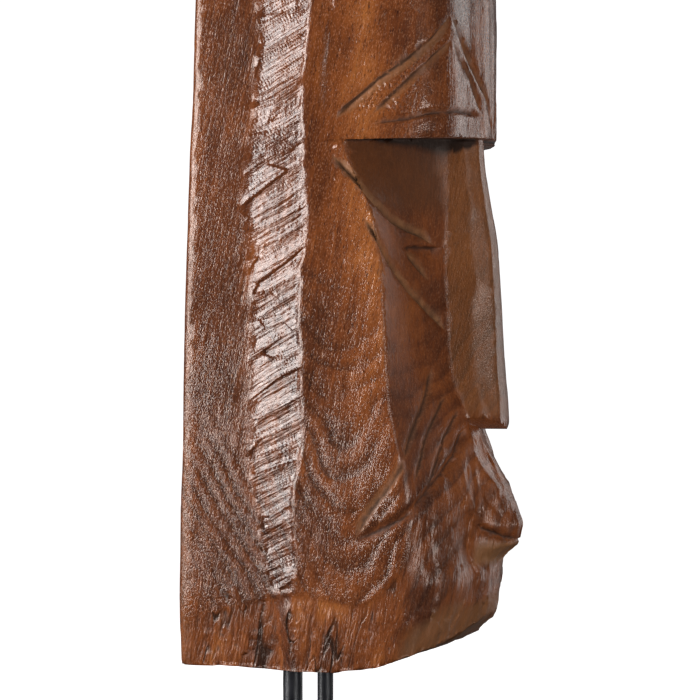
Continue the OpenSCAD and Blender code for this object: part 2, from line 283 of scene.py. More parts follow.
# %% [markdown]
# ## From outlines to a skin
#
# The skin is one closed grid. Its rows run from a point under the foot, out
# over the underside, up the walls and in over the crown to a point again. Its
# columns are packed closely where the tools left marks and widely over the
# flat back.

# %% The grid of the head
COLUMNS = [5, 6, 4, 22, 34, 34, 9, 22, 22, 14, 14, 14, 14, 16, 12, 7, 7]
LAST_SPAN = len(COLUMNS) - 1
place = np.concatenate([i + np.arange(n) / n for i, n in enumerate(COLUMNS)] + [[17.0]])
ledges = np.array([nose_h - under, nose_h, brow_h - under, brow_h, crown_h - under, crown_h])
level = np.unique(np.concatenate([np.linspace(0, 400, 560), np.linspace(400, 500, 90), ledges,
                                  ledges + .7, ledges - .7]))


def on_stations(t, place):
    """Point on the outline at a fractional station number: straight between its two
    stations, or on a Catmull-Rom curve through four where the block is rounded."""
    s = stations(t)
    i = np.minimum(np.floor(place).astype(int), LAST_SPAN)
    f = (place - i)[None, :, None]
    over = np.concatenate([s, s[:, LAST_SPAN:-1] * [-1, 1]], 1)
    a, b, d, e = s[:, np.maximum(i - 1, 0)], s[:, i], s[:, i + 1], over[:, i + 2]
    flat = b * (1 - f) + d * f
    bent = b + .5 * f * ((d - a) + f * ((2 * a - 5 * b + 4 * d - e) + f * (3 * b - a - 3 * d + e)))
    round_by = np.maximum(step(brow_h - .05, brow_h, t), .7 * (1 - step(110, 134, t)))
    return flat + (round_by[:, None] * step(8, 9, place))[..., None] * (bent - flat)


half = on_stations(level, place)
full = np.concatenate([half, (half * [-1, 1])[:, -2:0:-1]], 1)
wheel = np.concatenate([place, place[-2:0:-1]])
side = np.concatenate([np.ones(len(place)), -np.ones(len(place) - 2)])
# the pared bevel round the front of the foot, in flat facets
run = np.roll(full, -1, 1) - np.roll(full, 1, 1)
plan = np.stack([-run[..., 1], run[..., 0]], 2) / np.linalg.norm(run, axis=2)[..., None]
tall, c = level[:, None] + 0 * full[..., 0], wheel[None, :] + 0 * full[..., 0]
a, b, gap, r1, r2 = scoops(full[..., 1] * .9 - np.abs(full[..., 0]) * .5, tall, 21, 30, 27)
bevel_in = step(8.6, 10.4, c) * np.clip(1 - tall / (24 + 16 * r1), 0, 1)
chips = step(8.6, 10.4, c) * np.clip(1.6 - tall / 16, 0, 1) * (2.6 * r2 * a + 1.2 * r1 * b)
full = full - (2.6 * bevel_in + chips)[..., None] * plan
x, y = full[..., 0], full[..., 1]
wall = np.stack([x, y, heights(x, y, level[:, None] + 0 * x)], 2)
middle = np.array([0.0, 40.0])
foot_in = np.array([.02, .1, .2, .3, .4, .5, .6, .68, .76, .83, .89, .94, .97, .99])
foot = middle + foot_in[:, None, None] * (wall[0, :, :2] - middle)
foot = np.concatenate([foot, heights(foot[..., 0], foot[..., 1], 0 * foot[..., 0])[..., None]], 2)
top_in = np.array([.985, .96, .92, .86, .79, .7, .6, .5, .4, .3, .2, .1, .02])
top_mid = np.array([0.0, 10.0])
top = top_mid + top_in[:, None, None] * (wall[-1, :, :2] - top_mid)
top = np.concatenate([top, (head_h + dome * (1 - top_in))[:, None, None] + 0 * top[..., :1]], 2)
skin = np.concatenate([foot, wall, top], 0)
row_t = np.concatenate([np.zeros(len(foot)), level, np.full(len(top), head_h)])
row_t = row_t[:, None] + 0 * skin[..., 0]
row_c = wheel[None, :] + 0 * row_t
pared_rim = np.concatenate([np.repeat(bevel_in[:1], len(foot), 0), bevel_in, 0 * top[..., 0]], 0)
pared_rim = step(0, .3, pared_rim)
print("grid of the head:", skin.shape)

# %% Outward directions on the grid
def outward(p):
    """Cross product of the differences along the columns and along the rows."""
    along = np.roll(p, -1, 1) - np.roll(p, 1, 1)
    up = np.gradient(p, axis=0)
    n = np.cross(up, along)
    return n / np.maximum(np.linalg.norm(n, axis=2), 1e-9)[..., None]


normal = outward(skin)
print("outward x on the right cheek:", normal[300, 120].round(2))

# %% [markdown]
# ## Incised lines
#
# The brow, the eye and the cheek carry lines cut with a V-tool held askew: one
# wall is steep and dark, the other is wide and catches the light. Each line is
# a path over the skin, given as station and height. Its cut depends only on
# the distance from that path and on which side a point lies.

# %% The paths of the lines
LINES = {
    # name: (path, depth, width of the upper wall, width of the lower wall, painted paleness of the lit
    # wall)
    "brow_outer": ([(7.65, 327), (8.4, 339), (9, 349), (10, 361), (11, 373), (11.8, 386)],
                   3.0, 1.0, 5.4, .5),
    "brow_outer_front": ([(11.85, 386), (13, 367), (14.1, 350), (15.6, 333), (16.95, 316)],
                         2.6, 4.2, 1.4, .4),
    "brow_inner": ([(8.9, 330), (9.5, 341), (10.1, 351), (11, 362), (11.9, 372)],
                   2.7, 1.0, 4.6, .45),
    "brow_inner_low": ([(8.9, 324), (10, 326), (10.9, 329), (12.5, 330), (14.3, 328)],
                       2.8, 3.8, 1.8, .1),
    "brow_inner_front": ([(12.0, 371), (13.3, 351), (14.45, 330)], 2.4, 3.4, 1.3, .4),
    "eye_upper": ([(8.15, 306), (8.5, 298), (8.8, 292), (9.3, 278), (10.2, 265), (11, 259.5),
                   (11.8, 256), (12.35, 251)], 2.6, 5.2, 1.3, .75),
    "eye_lower": ([(8.7, 268), (8.9, 257), (9.5, 242), (10.5, 227), (11.5, 215), (12.5, 204),
                   (12.85, 199)], 2.4, 4.6, 1.2, .75),
    "eye_corner": ([(10.6, 249), (11.4, 250), (12.3, 249), (12.9, 250)], 3.0, 1.4, 7.5, 0),
    "eye_notch": ([(10.7, 248), (11.3, 239), (12.1, 229)], 1.6, 4.6, 1.4, .6),
    "cheek_upper": ([(8.05, 77), (8.25, 88), (8.45, 97), (8.9, 113), (9.3, 122)],
                    1.7, 4.6, 2.8, .5),
    "cheek_flute": ([(9.2, 119), (9.7, 128), (10.6, 144), (11.3, 160), (11.9, 178)],
                    2.2, 4.4, 2.6, .3),
    "flute_one": ([(9.5, 108), (10.4, 126), (11.4, 143), (12.3, 158)], 1.4, 3.0, 1.2, .3),
    "flute_two": ([(10.0, 103), (11.0, 120), (12.1, 136), (12.8, 148)], 1.4, 3.0, 1.4, .2),
    "cheek_lower": ([(8.1, 75), (8.6, 83), (9, 89), (10.5, 108), (12, 121), (13.1, 136)],
                    3.4, 4.4, 3.6, .05),
    "lips": ([(13.0, 85), (13.8, 80), (15.3, 75.5), (17, 73)], 3.4, 2.0, 3.6, 0),
}


def on_head(c, t):
    """Points of the bare skin at station c and height t, right half."""
    c, t = np.array(c, float), np.array(t, float)
    s = stations(t)
    i = np.minimum(np.floor(c).astype(int), LAST_SPAN)
    f = (c - i)[:, None]
    n = np.arange(len(t))
    p = s[n, i] * (1 - f) + s[n, i + 1] * f
    return np.concatenate([p, heights(p[:, 0], p[:, 1], t)[:, None]], 1)


def cut(points, normals, path, depth, upper, lower, taper=9.0):
    """Depth of a V-cut: full on the path, zero at `upper` above it and `lower` below
    it, and fading over `taper` millimetres at both ends. Also how near its bottom
    each point lies, for the painted shade along its bottom."""
    dense = np.linspace(0, len(path) - 1, 5 * len(path))
    c, t = np.array(path, float).T
    line = on_head(np.interp(dense, np.arange(len(c)), c), np.interp(dense, np.arange(len(t)), t))
    run = np.concatenate([[0], np.cumsum(np.linalg.norm(np.diff(line, axis=0), axis=1))])
    best = np.full(points.shape[:-1], 99.0)
    sign, reach = best.copy(), best.copy()
    for a, b, r in zip(line[:-1], line[1:], run[:-1]):
        d = b - a
        length = np.linalg.norm(d)
        u = np.clip(((points - a) @ d) / length ** 2, 0, 1)
        off = points - a - u[..., None] * d
        dist = np.linalg.norm(off, axis=-1)
        nearer = dist < best
        best = np.where(nearer, dist, best)
        sign = np.where(nearer, np.einsum("...k,...k", np.cross(d / length, normals), off), sign)
        reach = np.where(nearer, r + u * length, reach)
    fade = .18 + .82 * step(0, taper, reach) * step(0, taper, run[-1] - reach)
    width = np.where(sign > 0, upper, lower) * fade
    groove = depth * fade * np.clip(1 - best / np.maximum(width, .3), 0, 1)
    return groove, fade * (1 - step(.6, 1.6, best))


carved_zone = (row_c >= 4) & (row_t > 20) & (row_t < 420)


def one_side(hand):
    """Places of the carved zone on one hand of the head, with the middle of its front."""
    return carved_zone & ((side[None, :] * hand > 0) | (row_c > 16.9))


cuts, fresh, groove_shade = (np.zeros(row_t.shape) for _ in range(3))
for hand in (1, -1):
    pick = one_side(hand)
    p, n = skin[pick] * [hand, 1, 1], normal[pick] * [hand, 1, 1]
    for name, (path, depth, upper, lower, pale) in LINES.items():
        ends = on_head(*np.array(path, float).T)
        near = (p > ends.min(0) - 8).all(1) & (p < ends.max(0) + 8).all(1)
        d, dark = np.zeros(len(p)), np.zeros(len(p))
        d[near], dark[near] = cut(p[near], n[near], path, depth, upper, lower)
        # painted shade along the bottom of each cut
        groove_shade[pick] = np.maximum(groove_shade[pick], dark)
        cuts[pick] = np.maximum(cuts[pick], d)
        # painted light: the wide wall of each cut is painted paler for the light it catches
        fresh[pick] = np.maximum(fresh[pick], pale * step(.1, .8, d))
print("deepest cut in mm:", cuts.max().round(2), " points cut:", int((cuts > .2).sum()))

# %% [markdown]
# ## Marks of the tools, zone by zone
#
# The slanted ear band was struck across with a flat chisel, so it has long
# scoops that climb to the front. The muzzle, the chin and the bevel under it
# were pared in larger facets. The plain sides were only scraped, and weathered
# wood shows there as low pebbles. Each zone is a soft mask times its own marks.

# %% Masks of the zones
t, c = row_t, row_c
X, Y, Z = skin[..., 0], skin[..., 1], skin[..., 2]
arc = np.interp(Y, [-58, -52, -46, -37, -24, 17, 30, 60, 95],
                [112, 70, 58, 48, 38, 43, 43, 36, 28]) + 2.2 * waver(skin, 14, 3, 2)
arc = arc + 7 * waver(skin, (16, 16, 30), 29, 2) * (1 - step(2.7, 3.3, c))
below = step(0, 3.2 + 16 * (1 - step(2.7, 3.3, c)), arc - Z) * step(-60, -44, Y)
edge_y = np.interp(Z, [30, 38, 50, 59, 70, 82, 95, 120, 150],
                   [-12, -24, -37, -46, -52, -50, -46, -42, -40])
carved = step(0, 4, edge_y + 1.5 * waver(skin, 12, 17, 2) - Y) * (1 - step(150, 170, Z))
band = between(c, 3.9, 4.35, 5.75, 6.1) * between(Z, 43, 47, 452, 462)
cheek = between(c, 6.1, 6.4, 8.9, 9.15) * (1 - below)
back_side = between(c, 3.05, 3.3, 3.9, 4.05) * (1 - below)
eye = between(c, 8.9, 9.3, 12.9, 13.05) * between(Z, 262, 280, 311, 313)
plane = between(c, 9.0, 9.3, 12.8, 13.0) * between(Z, 100, 130, 311, 313)
nose = step(12.95, 13.1, c) * between(Z, 146, 149, 311, 313)
muzzle = step(10.2, 11.6, c) * between(Z, 24, 40, 132, 140)
low_face = step(8.9, 9.6, c) * (1 - step(95, 120, Z))
brow = step(6.3, 6.8, c) * between(Z, 312, 314, 386, 388)
crown_band = step(386, 389, Z)
print("share of the skin on the ear band:", round(float(band.mean()), 3))

# %% Displacement of each zone
push = np.zeros(t.shape)
lean_a = math.radians(25)  # the chisel strokes climb to the front by this much
p_along = -Y * math.cos(lean_a) + Z * math.sin(lean_a)
q_across = Z * math.cos(lean_a) + Y * math.sin(lean_a)
wobble = 3.0 * waver(skin, 30, 4)
a, b, gap, r1, r2 = scoops(p_along + 5 * side, q_across + wobble, 52, 11, 21)
struck = 3.6 * r1 * b + 3.2 * r2 * a + 2.2 * (b * b - .25) + .3 * r2
a, b, gap, r1, r2 = scoops(p_along, q_across + wobble + .5 * waver(skin, 9, 5), 58, 2.3, 22)
streaks = .62 * (b * b - .3) + .42 * r1 - .45 * (1 - step(0, .22, gap)) * (r2 > .2)
push += band * (struck - .5 + streaks)

a, b, gap, r1, r2 = scoops(Z + 4 * waver(skin, 20, 6), X - Y * .4, 30, 9, 23)
pared = 2.2 * r1 * b + 1.6 * r2 * a + .9 * (b * b - .4) + .3 * r2
push += np.maximum(muzzle, low_face * .8) * 1.15 * (pared - .35)
a, b, gap, r1, r2 = scoops(Z - Y * .3, Y + X * .3, 17, 12, 24)
push += step(3, 6, c) * below * .5 * (1.2 * r1 * b + .9 * r2 * a + .4 * r1)
a, b, gap, r1, r2 = scoops(Z, Y * .8 + X, 46, 6.5, 25)
push += nose * .7 * (.9 * r1 * b + .35 * (b * b - .4) + .15 * r2)
push -= below * .9 * (1 - .6 * step(45, 60, Y))

# the shallow panel above the brow's outer line
line_c, line_t = np.array(LINES["brow_outer"][0], float).T
over_line = t - np.interp(c, line_c, line_t)
panel = (between(c, 6.9, 7.1, 10.0, 10.15) * step(-.5, 1.5, over_line)
         * step(326, 340, Z) * (1 - step(362 + 25 * step(8.6, 9.3, c), 388.4, Z)))
push -= 1.5 * panel

# small nicks between the lines of the brow
nick = np.sin((Y * .9 + Z * .35 + 2.2 * waver(skin, 7, 8)) * 2.6)
inner_c, inner_t = np.array(LINES["brow_inner"][0], float).T
under_outer = -over_line * step(7.6, 7.8, c)
over_inner = t - np.interp(c, inner_c, inner_t)
feather = (step(2, 5, under_outer) * step(1, 4, over_inner) * between(c, 8.0, 8.4, 11.2, 11.7)
           + step(2, 5, -over_inner) * between(c, 9, 9.3, 10, 10.6) * step(329, 333, t))
push -= 1.5 * feather * np.maximum(nick, 0)

# growth layers: nested cones round the heart of the log
layer_gap = 9.5
climb = .62 * Z - .0005 * np.maximum(Z - 170, 0) ** 2
growth = (np.hypot((X + 20) * .4, Y + 14) - climb + 13 * waver(skin, (80, 80, 110), 18)
          + 4 * waver(skin, 30, 19, 2)) / layer_gap
layer = growth % 1
late = between(layer, .35, .80, .82, 1)
on_back = (c < 4.6) * step(95, 165, Z)
uneven = np.clip(.75 + .6 * waver(skin, 38, 27, 2), .15, 1.2)
ringed = (1 - .65 * below) * (.12 + .88 * (1 - step(150, 260, Z))) * (1 - .85 * on_back) * uneven
relief = np.maximum(back_side, cheek) * (1 - below) * ringed
push -= .9 * relief * late

# slow unevenness everywhere, pebbles on the scraped sides, gouged brow and crown
push += .7 * waver(skin, 42, 9) * (1 - step(16.5, 17, c) * nose)
push += (.08 + .05 * cheek) * waver(skin, (2.4, 2.4, 4.0), 10, 2) * (1 - .8 * eye)
a, b, gap, r1, r2 = scoops(Z, np.where(c > 9, X, Y), 60, 9, 26)
push += brow * step(10.5, 11.5, c) * .8 * (.9 * (b * b - .5) + .8 * r1 * b)
push += crown_band * step(3, 4, c) * (.8 * (b * b - .5) + .5 * r1 * b)

# the fan of narrow flutes between the two cheek lines
wing = on_head([13.2], [146])[0]
for hand in (1, -1):
    v = skin * [hand, 1, 1] - wing
    angle = np.degrees(np.arctan2(v[..., 2], -v[..., 1]))  # seen from the side
    r = np.linalg.norm(v, axis=2)
    fan = ((angle < -98) & (angle > -140)) * between(r, 4, 10, 52, 64)
    fan = fan * (side[None, :] * hand > 0) * (c > 8.9)
    push += fan * .55 * (np.abs(((angle * .13 + .8 * waver(skin, 12, 11)) % 1) - .5) * 2 - .9)

# checks that opened in the end grain at the foot
CHECKS = [(72, 0, 58, 1.1), (80, 3, 40, .6), (61, 0, 22, .8), (50, 6, 44, .5), (38, 0, 20, .7),
          (24, 2, 36, .5), (14, 0, 26, 1.1), (5, 5, 34, .8), (-8, 0, 22, .5), (-22, 4, 38, .6),
          (-36, 2, 30, .5), (-48, 6, 28, .4)]  # distance back, lower end, upper end, width
cracks = np.zeros(t.shape)
for y0, z0, z1, w in CHECKS:
    run = np.abs(Y - y0 + (Z - z0) * .24 - 1.6 * waver(skin, 11, 12))
    length = between(Z, z0 - 4, z0 + 2, z1 - 8, z1)
    cracks = np.maximum(cracks, (1 - step(0, w, run)) * length * (c > 3.1) * (c < 9.5) * (t > 0))
push -= .9 * cracks

# the worn rim of the foot
push += (1 - step(0, 5, t)) * (.5 * waver(skin, 6, 13, 2) - .3)
# ridges left standing between the big facets of the muzzle and the chin
RIDGES = [([(13.3, 137), (13.7, 118), (15.0, 106), (14.2, 92)], 2.6, 6, 8),
          ([(12.9, 133), (12.3, 112), (12.7, 92), (13.2, 84)], 2.2, 7, 6),
          ([(16.9, 112), (15.6, 104), (15.2, 92), (16, 86)], 1.2, 6, 6),
          ([(11.8, 98), (11.2, 82), (11.9, 66), (11.3, 48)], 1.2, 8, 8),
          ([(13.6, 62), (14.2, 48), (13.6, 30)], 1.2, 8, 8),
          ([(9.8, 66), (10.3, 50), (10.0, 34)], 1.0, 8, 8)]
for hand in (1, -1):
    pick = one_side(hand) & (row_t < 150) & (row_c > 9)
    p, n = skin[pick] * [hand, 1, 1], normal[pick] * [hand, 1, 1]
    for path, high, upper, lower in RIDGES:
        push[pick] += cut(p, n, path, high, upper, lower, 12)[0]
body = skin + normal * (push - cuts)[..., None]
print("marks from", push.min().round(2), "to", push.max().round(2), "mm")

# %% [markdown]
# ## The mesh of the head
#
# The grid becomes one closed mesh with a point at either end. A finish could be
# laid on by place alone, but then paint would not follow the carving. So ten
# marks ride along with every vertex: how much painted shade lies in its cuts and
# under the brow and how dark its open checks are, how much painted light makes it
# paler, how warm in colour it is, with painted light on the nose side, how sleek,
# whether the flat chisel struck it, how much streaky foot grain shows, which growth
# layer it lies in and how clearly that shows, how much painted shade darkens the
# eye, and how much it shines.

# %% Closed grid to mesh
def linked(name, data):
    """A new object that holds the data, put into the scene."""
    piece = bpy.data.objects.new(name, data)
    bpy.context.scene.collection.objects.link(piece)
    return piece


def smoothed(mesh, crease=None):
    """Shades the mesh as one soft skin, except at edges bent by more than `crease`
    degrees."""
    mesh.polygons.foreach_set("use_smooth", np.ones(len(mesh.polygons), bool))
    if crease:
        mesh.set_sharp_from_angle(angle=math.radians(crease))


def closed_grid(name, grid, pole_low, pole_high, marks=None):
    """Quads between neighbouring rows of a grid that is closed round its columns, and
    fans from its first and last rows to two poles. Rows go up, columns go clockwise
    as seen from above."""
    rows, cols = grid.shape[:2]
    verts = np.concatenate([grid.reshape(-1, 3), [pole_low], [pole_high]])
    i, j = np.meshgrid(np.arange(rows - 1), np.arange(cols), indexing="ij")
    k = (j + 1) % cols
    quads = np.stack([i * cols + j, (i + 1) * cols + j, (i + 1) * cols + k, i * cols + k], 2)
    e = np.arange(cols)
    f = (e + 1) % cols
    low = np.stack([e, f, np.full(cols, rows * cols)], 1)
    high = np.stack([(rows - 1) * cols + f, (rows - 1) * cols + e,
                     np.full(cols, rows * cols + 1)], 1)
    loops = np.concatenate([quads.reshape(-1), low.reshape(-1), high.reshape(-1)])
    sizes = np.concatenate([np.full(quads.shape[0] * quads.shape[1], 4), np.full(2 * cols, 3)])
    mesh = bpy.data.meshes.new(name)
    mesh.vertices.add(len(verts))
    mesh.vertices.foreach_set("co", (verts * MM).astype(np.float32).ravel())
    mesh.loops.add(len(loops))
    mesh.loops.foreach_set("vertex_index", loops.astype(np.int32))
    mesh.polygons.add(len(sizes))
    starts = np.concatenate([[0], np.cumsum(sizes)[:-1]]).astype(np.int32)
    mesh.polygons.foreach_set("loop_start", starts)
    mesh.update(calc_edges=True)
    for key, values in (marks or {}).items():
        layer = mesh.attributes.new(key, "FLOAT", "POINT")
        layer.data.foreach_set("value", np.append(values.ravel(), [0, 0]).astype(np.float32))
    smoothed(mesh)
    mesh.validate()
    return linked(name, mesh)


# the thin line of shadow under the brow grows wider towards the middle of the eye
sliver = brow_h - .5 - 8 * step(9.4, 13, c) * (1 - step(13.2, 16, c))
under_brow = (step(sliver - 1, sliver + .5, t) * (t < brow_h - .05) * (c > 9)
              * (1 - .8 * step(14.6, 15.5, c)))
# painted shade: the bottoms of the cuts and the strip under the brow are darkened, together with the
# open checks
hollow = np.clip(.78 * groove_shade + .8 * cracks + under_brow, 0, 1)
warm_cheek = (.1 + .26 * step(120, 200, Z)) * cheek * step(-2, -26, Y)
# painted light: the side of the nose, which the brow shades, is painted lighter
nose_painted_light = .34 * nose * (1 - step(13.9, 14.1, c))
warm = np.clip(.39 + .20 * waver(skin, 30, 14, 2) + warm_cheek + nose_painted_light
               + .06 * below - .2 * back_side - .02 * band + .02 * brow, 0, 1)
sleek = np.maximum.reduce([carved, below * .8, pared_rim, eye, plane * .75, nose * .25,
                           muzzle * .45, low_face * .5, step(.2, 1, cuts)])
lower_lip = step(13.0, 13.6, c) * between(Z, 57, 62, 70, 74)
back_corner = 1 - step(.02, .07, np.abs(c - 3))
# painted light: the bevel under the foot, the lower lip, the back corner, the nose side and the muzzle
# are painted paler where their faces catch the light
fresh = np.maximum.reduce([fresh, .55 * pared_rim, .85 * lower_lip, .22 * back_corner, .38 * nose,
                           .05 * muzzle])
foot_grain = np.clip(below + .5 * low_face, 0, 1) * (1 - .7 * pared_rim)
marks = {"hollow": hollow, "fresh": fresh, "warm": warm, "sleek": np.clip(sleek, 0, 1),
         "struck": band, "foot_grain": foot_grain, "growth": growth, "ringed": ringed, "shade": eye * .9,
         "shine": 1 - .85 * np.maximum(eye, plane)}
lift = np.array([0, 0, foot_z])
under_pole = [*middle, foot_z + body[0, :, 2].mean()]
crown_pole = [*top_mid, foot_z + head_h + dome]
head = closed_grid("ancestor_head", body + lift, under_pole, crown_pole, marks)
print("faces before thinning:", len(head.data.polygons))

# %% [markdown]
# ## Fewer faces, and the two bores
#
# The grid has far more faces than the plain sides need, so the mesh is thinned
# where it is nearly flat. The ear band keeps more of its faces, because its
# glints show every facet. The bores are drilled blind, as on the real block,
# with a little clearance round the rods.

# %% Thin the mesh where it is flat, and drill the bores
def applied(piece):
    """Works the piece's modifiers out into its mesh."""
    graph = bpy.context.evaluated_depsgraph_get()
    mesh = bpy.data.meshes.new_from_object(piece.evaluated_get(graph))
    piece.modifiers.clear()
    piece.data = mesh


def drilled(piece, tool):
    """Takes the tool's solid out of the piece and throws the tool away."""
    drill = piece.modifiers.new("drill", "BOOLEAN")
    drill.operation, drill.solver, drill.object = "DIFFERENCE", "MANIFOLD", tool
    applied(piece)
    bpy.data.objects.remove(tool)


def around(centre, r, angle, z):
    """Points at radius r and that angle round a vertical line, at height z."""
    return np.stack([centre[0] + r * np.cos(angle), centre[1] + r * np.sin(angle), z], 2)


def turned(name, profile, sides, centre=(0, 0)):
    """Profile of radius and height, spun round the vertical line through centre. Its
    first and last points lie on that line."""
    r, z = np.array(profile, float).T
    rr, aa = np.meshgrid(r[1:-1], -np.arange(sides) * 2 * np.pi / sides, indexing="ij")
    grid = around(centre, rr, aa, z[1:-1, None] + 0 * rr)
    return closed_grid(name, grid, [*centre, z[0]], [*centre, z[-1]])


share_left, thin_on_band, bore_clearance = .27, .45, .08
thin_here = head.vertex_groups.new(name="thin_here")
on_band = band.ravel() >= .5
poles = [band.size, band.size + 1]
thin_here.add(np.flatnonzero(~on_band).tolist() + poles, 1.0, "REPLACE")
thin_here.add(np.flatnonzero(on_band).tolist(), thin_on_band, "REPLACE")
thin = head.modifiers.new("thin", "DECIMATE")
thin.ratio = share_left
thin.vertex_group, thin.vertex_group_factor = "thin_here", 1.0
thin.use_collapse_triangulate = True
applied(head)
print("faces after thinning:", len(head.data.polygons))
for node in ("rod_right", "rod_left"):
    low, high = box_mm(node)
    r = (high[0] - low[0]) / 2 + bore_clearance
    bore = [(0, foot_z - 9), (r, foot_z - 9), (r, high[2]), (0, high[2])]
    drilled(head, turned("bore_tool", bore, 48, (low[:2] + high[:2]) / 2))
print("faces after drilling:", len(head.data.polygons))
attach(head, "head")
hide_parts("carved_head")

# %% [markdown]
# ## Writing finishes as sums
#
# A finish in Blender is a net of nodes. Wired by hand it is hard to read, so a
# small class holds one socket and lets Python's own signs add the Math nodes.

# %% A socket that can be added and multiplied
class Wire:
    """One output socket of a material's node tree. The signs + - and * add Math nodes,
    from the left or from the right, so 1 - mask works."""

    def __init__(self, recipe, socket):
        self.recipe, self.socket = recipe, socket

    def _math(self, operation, *values):
        sockets = dict(enumerate(values))
        return self.recipe.node("ShaderNodeMath", {"operation": operation}, sockets)

    def __add__(self, other):
        return self._math("ADD", self, other)

    __radd__ = __add__

    def __mul__(self, other):
        return self._math("MULTIPLY", self, other)

    __rmul__ = __mul__

    def __sub__(self, other):
        return self._math("SUBTRACT", self, other)

    def __rsub__(self, other):
        return self._math("SUBTRACT", other, self)

    def rise(self, low, high):
        """0 at low, 1 at high, straight between them and held outside."""
        return self.recipe.node("ShaderNodeMapRange", {"clamp": True},
                                {"Value": self, "From Min": low, "From Max": high})


class Recipe:
    """A finish under construction: its material, its nodes and its Principled shader."""

    def __init__(self, name):
        self.material = bpy.data.materials.new(name)
        self.material.use_nodes = True
        self.tree = self.material.node_tree
        self.shader = self.tree.nodes["Principled BSDF"]

    def node(self, kind, settings=None, sockets=None, out=0):
        """Adds a node of that kind, sets its settings first and then its sockets."""
        n = self.tree.nodes.new(kind)
        for key, value in (settings or {}).items():
            if key == "stops":
                ramp = n.color_ramp
                while len(ramp.elements) < len(value):
                    ramp.elements.new(.5)
                for e, (place, colour) in zip(ramp.elements, value):
                    e.position = place
                    e.color = (*colour, 1)
            else:
                setattr(n, key, value)
        for key, value in (sockets or {}).items():
            if isinstance(value, Wire):
                self.tree.links.new(value.socket, n.inputs[key])
            else:
                n.inputs[key].default_value = value
        return Wire(self, n.outputs[out])

    def place(self):
        """Where a point is on the piece, in metres."""
        return self.node("ShaderNodeTexCoord", out="Object")

    def grain(self, where, scale, detail, rough):
        """Noise stretched along the wood, in patches per metre along each axis."""
        return self.noise(self.stretched(where, scale), 1, detail, rough)

    def mark(self, name):
        """A number that rides along with every vertex of the mesh."""
        return self.node("ShaderNodeAttribute", {"attribute_name": name}, out="Fac")

    def stretched(self, where, scale):
        """The pattern space, finer along each axis by its scale."""
        return self.node("ShaderNodeMapping", None, {"Vector": where, "Scale": scale})

    def noise(self, where, scale, detail=2.0, rough=.5):
        """Cloudy noise about one half, with `scale` patches to a metre."""
        return self.node("ShaderNodeTexNoise", None, {
            "Vector": where, "Scale": scale, "Detail": detail, "Roughness": rough})

    def mixed(self, a, b, share):
        """Colour a with that share of colour b over it."""
        return self.node("ShaderNodeMix", {"data_type": "RGBA"}, {0: share, 6: a, 7: b}, out=2)

    def set(self, **sockets):
        """Puts values and wires on the shader's own sockets."""
        for key, value in sockets.items():
            socket = self.shader.inputs[key.replace("_", " ")]
            if isinstance(value, Wire):
                self.tree.links.new(value.socket, socket)
            else:
                socket.default_value = value

    def relief(self, height, distance, strength=1.0):
        """Bump from a height in units of `distance` metres."""
        bump = self.node("ShaderNodeBump", None, {
            "Height": height, "Distance": distance, "Strength": strength})
        self.set(Normal=bump)

# %% [markdown]
# ## Varnished hardwood
#
# The block was sawn beside the heart of the log, so its growth layers are
# nested cones that meet the side in U-shaped bands. The wood has open pores
# and a glossy varnish over rough-scraped grain, which glints in small specks.
# The lit walls of the cuts, the bevel under the foot and the side of the nose are
# painted paler, as painted light, and pale flecks are painted in as glints.

# %% The wood of the head
wood = Recipe("head_wood")
here = wood.place()
xyz = wood.node("ShaderNodeSeparateXYZ", None, {0: here})
px, py, pz = (Wire(wood, xyz.socket.node.outputs[k]) for k in range(3))
ring = wood.node("ShaderNodeMath", {"operation": "FRACT"}, {0: wood.mark("growth")})
late = ring.rise(.35, .82) * (1 - ring.rise(.84, 1.0)) * wood.mark("ringed")
leaning = wood.node("ShaderNodeCombineXYZ", None, {0: px, 1: py + pz * .2, 2: pz})
pores, specks, patches, figure, grit, streak, blocks, fibre, seam, glint_flecks = (
    wood.grain(leaning, scale, detail, rough) for scale, detail, rough in (
        ((1100, 1100, 260), 2, .6),   # pores, short slits
        ((1900, 1900, 1100), 0, .5),  # specks that glint
        ((190, 190, 45), 2, .6),      # patches where they gather
        ((110, 110, 34), 3, .62),     # figure of the wood
        ((700, 700, 420), 2, .6),     # grit left by the scraper
        ((170, 170, 12), 3, .62),     # long streaks of the foot
        ((70, 70, 26), 2, .5),        # blocks of darker foot wood
        ((520, 520, 18), 3, .6),      # fibres
        ((80, 80, 10), 1, .5),        # seams, where fine checks open
        ((1500, 1500, 640), 1, .6)))  # flecks painted as glints
cloud = wood.grain(here, (16, 16, 9), 3, .5)
warm_w, shade_and_checks_w, painted_light_w, sleek_w, struck_w, shade_w, grain_w, shine_w = (
    wood.mark(name) for name in ("warm", "hollow", "fresh", "sleek", "struck", "shade",
                                 "foot_grain", "shine"))
tone = (warm_w * .75 + cloud * .78 - .40 + (fibre - .5) * .62
        + (figure - .5) * .75 * (1 - sleek_w * .3) + (.5 - late) * .26
        + grain_w * ((streak - .5) * .9 + (blocks.rise(.38, .62) - .5) * .36))
seam = seam - .5
check_w = (1 - (seam * seam).rise(.00003, .0005)) * grain_w.rise(.6, .95) * blocks.rise(.60, .44)
base = wood.node("ShaderNodeValToRGB", {"stops": [
    (0.0, (.034, .0085, .0030)), (.3, (.076, .0195, .0056)), (.55, (.130, .034, .0080)),
    (.8, (.186, .054, .0125)), (1.0, (.265, .086, .020))]}, {0: tone})
dark_pore = pores.rise(.56, .70) * .7 + grit.rise(.55, .75) * .3
painted_glint = glint_flecks.rise(.55, .70) * (1 - sleek_w * .5) * (1 - struck_w)
